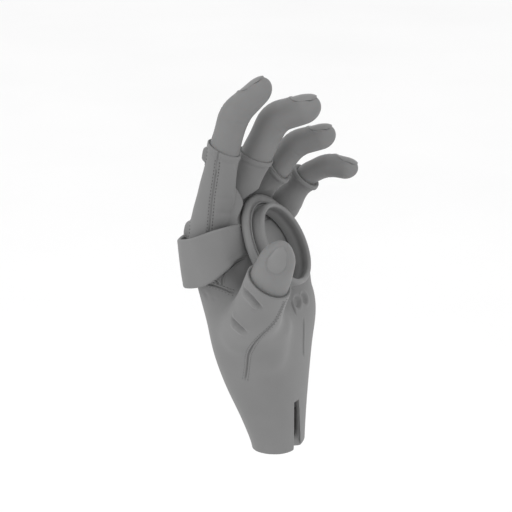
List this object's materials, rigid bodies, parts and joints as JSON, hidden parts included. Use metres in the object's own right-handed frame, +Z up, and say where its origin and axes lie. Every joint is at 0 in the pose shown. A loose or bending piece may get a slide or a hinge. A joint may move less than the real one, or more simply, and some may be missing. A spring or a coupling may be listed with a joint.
{
  "type": "prosthetic hand",
  "caption": "Left passive positionable hand prosthesis in a fingerless glove, with bare finger ends, a strap round the palm, a round cup ring in the palm and a slit wrist cuff.",
  "frame": {"origin": "centre of the wrist stud's end face, in the plane of the cuff's lower edge", "axes": "+Z up the wrist stud's axis to the fingers, +X out of the palm on the cup ring's side, -Y the thumb's side"},
  "size_m": [0.0881, 0.1191, 0.2253],
  "materials": {
    "silicone_skin": "matt moulded silicone",
    "fingernail": "satin moulded nail",
    "glove_fabric": "fine knitted fabric with stitched seams",
    "strap_webbing": "flat woven webbing",
    "ring_plastic": "turned matt plastic",
    "frame_aluminium": "machined, lightly brushed",
    "pin_steel": "ground steel",
    "bush_plastic": "plain bearing plastic"
  },
  "bodies": {
    "mount": {"wrist_stud": "pin_steel", "wrist_flange": "frame_aluminium", "wrist_bush": "bush_plastic", "wrist_retaining_clip": "pin_steel"},
    "palm": {"palm_chassis": "frame_aluminium", "glove_body": "glove_fabric", "palm_strap": "strap_webbing", "ring_flange": "ring_plastic", "ring_collar": "ring_plastic", "ring_arm": "frame_aluminium", "thumb_arm_bolt": "pin_steel", "thumb_base_arm": "frame_aluminium", "thenar_pad": "glove_fabric", "thumb_knuckle_pin": "pin_steel", "index_knuckle_block": "frame_aluminium", "index_block_stud": "pin_steel", "index_knuckle_pin": "pin_steel", "middle_knuckle_block": "frame_aluminium", "middle_block_stud": "pin_steel", "middle_knuckle_pin": "pin_steel", "ring_knuckle_block": "frame_aluminium", "ring_block_stud": "pin_steel", "ring_knuckle_pin": "pin_steel", "little_knuckle_block": "frame_aluminium", "little_block_stud": "pin_steel", "little_knuckle_pin": "pin_steel"},
    "index_proximal": {"index_bar": "frame_aluminium", "index_sleeve": "glove_fabric", "index_joint_pin": "pin_steel"},
    "index_distal": {"index_core": "frame_aluminium", "index_fingertip": "silicone_skin", "index_nail": "fingernail"},
    "middle_proximal": {"middle_bar": "frame_aluminium", "middle_sleeve": "glove_fabric", "middle_joint_pin": "pin_steel"},
    "middle_distal": {"middle_core": "frame_aluminium", "middle_fingertip": "silicone_skin", "middle_nail": "fingernail"},
    "ring_proximal": {"ring_bar": "frame_aluminium", "ring_sleeve": "glove_fabric", "ring_joint_pin": "pin_steel"},
    "ring_distal": {"ring_core": "frame_aluminium", "ring_fingertip": "silicone_skin", "ring_nail": "fingernail"},
    "little_proximal": {"little_bar": "frame_aluminium", "little_sleeve": "glove_fabric", "little_joint_pin": "pin_steel"},
    "little_distal": {"little_core": "frame_aluminium", "little_fingertip": "silicone_skin", "little_nail": "fingernail"},
    "thumb_proximal": {"thumb_bar": "frame_aluminium", "thumb_sleeve": "glove_fabric", "thumb_joint_pin": "pin_steel"},
    "thumb_distal": {"thumb_core": "frame_aluminium", "thumb_fingertip": "silicone_skin", "thumb_nail": "fingernail"}
  },
  "joints": [
    {"name": "wrist_rotation", "type": "hinge", "parent": "mount", "child": "palm", "pos_m": [0, 0, 0.032], "axis": [0, 0, 1], "range_deg": [-90, 90]},
    {"name": "index_knuckle", "type": "hinge", "parent": "palm", "child": "index_proximal", "pos_m": [-0.032, -0.028, 0.1338], "axis": [0, 1, 0], "range_deg": [-25, 15]},
    {"name": "index_joint", "type": "hinge", "parent": "index_proximal", "child": "index_distal", "pos_m": [-0.02349, -0.028, 0.18206], "axis": [0, 1, 0], "range_deg": [-15, 42]},
    {"name": "middle_knuckle", "type": "hinge", "parent": "palm", "child": "middle_proximal", "pos_m": [-0.0337, -0.006, 0.1321], "axis": [0, 1, 0], "range_deg": [-30, 2]},
    {"name": "middle_joint", "type": "hinge", "parent": "middle_proximal", "child": "middle_distal", "pos_m": [-0.01354, -0.006, 0.17344], "axis": [0, 1, 0], "range_deg": [-20, 45]},
    {"name": "ring_knuckle", "type": "hinge", "parent": "palm", "child": "ring_proximal", "pos_m": [-0.0348, 0.0164, 0.1286], "axis": [0, 1, 0], "range_deg": [-35, 1]},
    {"name": "ring_joint", "type": "hinge", "parent": "ring_proximal", "child": "ring_distal", "pos_m": [-0.00833, 0.0164, 0.16248], "axis": [0, 1, 0], "range_deg": [-25, 40]},
    {"name": "little_knuckle", "type": "hinge", "parent": "palm", "child": "little_proximal", "pos_m": [-0.0188, 0.0345, 0.1246], "axis": [0, 1, 0], "range_deg": [-35, 3]},
    {"name": "little_joint", "type": "hinge", "parent": "little_proximal", "child": "little_distal", "pos_m": [0.00467, 0.0345, 0.15575], "axis": [0, 1, 0], "range_deg": [-40, 30]},
    {"name": "thumb_knuckle", "type": "hinge", "parent": "palm", "child": "thumb_proximal", "pos_m": [-0.0017, -0.0402, 0.0882], "axis": [-0.9063, -0.2791, 0.3174], "range_deg": [-20, 0]},
    {"name": "thumb_joint", "type": "hinge", "parent": "thumb_proximal", "child": "thumb_distal", "pos_m": [0.01106, -0.05154, 0.11467], "axis": [-0.9063, -0.2791, 0.3174], "range_deg": [-12, 30]}
  ]
}
